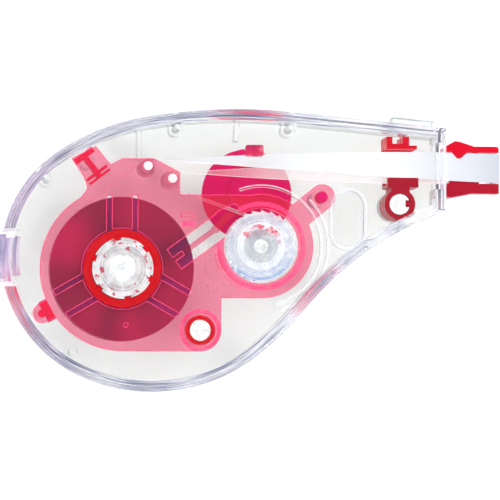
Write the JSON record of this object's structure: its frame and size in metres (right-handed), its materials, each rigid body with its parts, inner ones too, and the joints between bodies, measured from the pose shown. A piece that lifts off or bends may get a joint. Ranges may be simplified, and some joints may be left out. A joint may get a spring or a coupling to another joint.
{
  "type": "correction tape roller",
  "caption": "Hand-held correction tape dispenser: clear teardrop case, pink cartridge plate, red cores and gears, and a twisted tape that runs to a small pressing head.",
  "frame": {"origin": "centre of the bounding box's underside, on the face the object rests on when it lies on its rear shell", "axes": "+X towards the pressing head, +Z from the rear shell up to the front shell"},
  "size_m": [0.0869, 0.0484, 0.015],
  "materials": {
    "clear_shell": "clear polished polystyrene",
    "clear_inner": "clear polished plastic",
    "pink_plate": "translucent pink plastic",
    "red_plastic": "opaque gloss red plastic",
    "white_plastic": "white acetal",
    "tape_edges": "edges of closely wound coated tape",
    "white_tape": "matte white coating",
    "bare_film": "thin translucent film",
    "steel_pin": "drawn wire"
  },
  "bodies": {
    "case": {"rear_shell": "clear_shell", "cartridge_plate": "pink_plate", "feed_guide_post": "white_plastic", "return_guide_post": "white_plastic", "locating_bush": "red_plastic", "arm_pin": "red_plastic", "upper_clip": "red_plastic", "lower_clip": "red_plastic", "head_frame": "red_plastic", "roller_pin": "steel_pin", "feed_tape": "white_tape", "return_film": "bare_film"},
    "cover": {"front_shell": "clear_shell"},
    "latch": {"release_latch": "clear_shell"},
    "supply_reel": {"supply_core": "red_plastic", "tape_roll": "tape_edges", "slack_knob": "clear_inner", "clutch_ring": "red_plastic", "drive_gear": "clear_inner"},
    "idler": {"idler_gear": "clear_inner"},
    "takeup_reel": {"takeup_spool": "clear_inner", "used_film_roll": "bare_film", "takeup_gear": "clear_inner"},
    "dial": {"rewind_dial": "red_plastic"},
    "pawl": {"ratchet_pawl": "pink_plate"},
    "roller": {"press_roller": "white_plastic"}
  },
  "joints": [
    {"name": "supply_spin", "type": "hinge", "parent": "case", "child": "supply_reel", "pos_m": [-0.0223, -0.00345, 0.009], "axis": [0, 0, 1], "continuous": true},
    {"name": "idler_spin", "type": "hinge", "parent": "case", "child": "idler", "pos_m": [-0.00632, -0.00272, 0.002], "axis": [0, 0, 1], "continuous": true},
    {"name": "takeup_spin", "type": "hinge", "parent": "case", "child": "takeup_reel", "pos_m": [0.00155, 0.0005, 0.009], "axis": [0, 0, 1], "continuous": true},
    {"name": "dial_spin", "type": "hinge", "parent": "case", "child": "dial", "pos_m": [-0.00018, 0.00984, 0.002], "axis": [0, 0, 1], "continuous": true},
    {"name": "roller_spin", "type": "hinge", "parent": "case", "child": "roller", "pos_m": [0.0421, 0.01425, 0.0087], "axis": [0, 1, 0], "continuous": true},
    {"name": "cover_lift", "type": "slide", "parent": "case", "child": "cover", "axis": [0, 0, 1], "range_m": [0, 0.02]},
    {"name": "latch_press", "type": "hinge", "parent": "case", "child": "latch", "pos_m": [-0.0424, -0.00165, 0.0007], "axis": [0, 1, 0], "range_deg": [0, 3], "stiffness_Nm_per_rad": 0.05},
    {"name": "pawl_flex", "type": "hinge", "parent": "case", "child": "pawl", "pos_m": [-0.0112, -0.00022, 0.0121], "axis": [0, 0, 1], "range_deg": [0, 4], "stiffness_Nm_per_rad": 0.002}
  ],
  "couplings": [
    {"joint": "idler_spin", "follows": "supply_spin", "ratio": -3},
    {"joint": "takeup_spin", "follows": "supply_spin", "ratio": 2.6667},
    {"joint": "dial_spin", "follows": "supply_spin", "ratio": -2.4},
    {"joint": "roller_spin", "follows": "supply_spin", "ratio": -9.81}
  ]
}
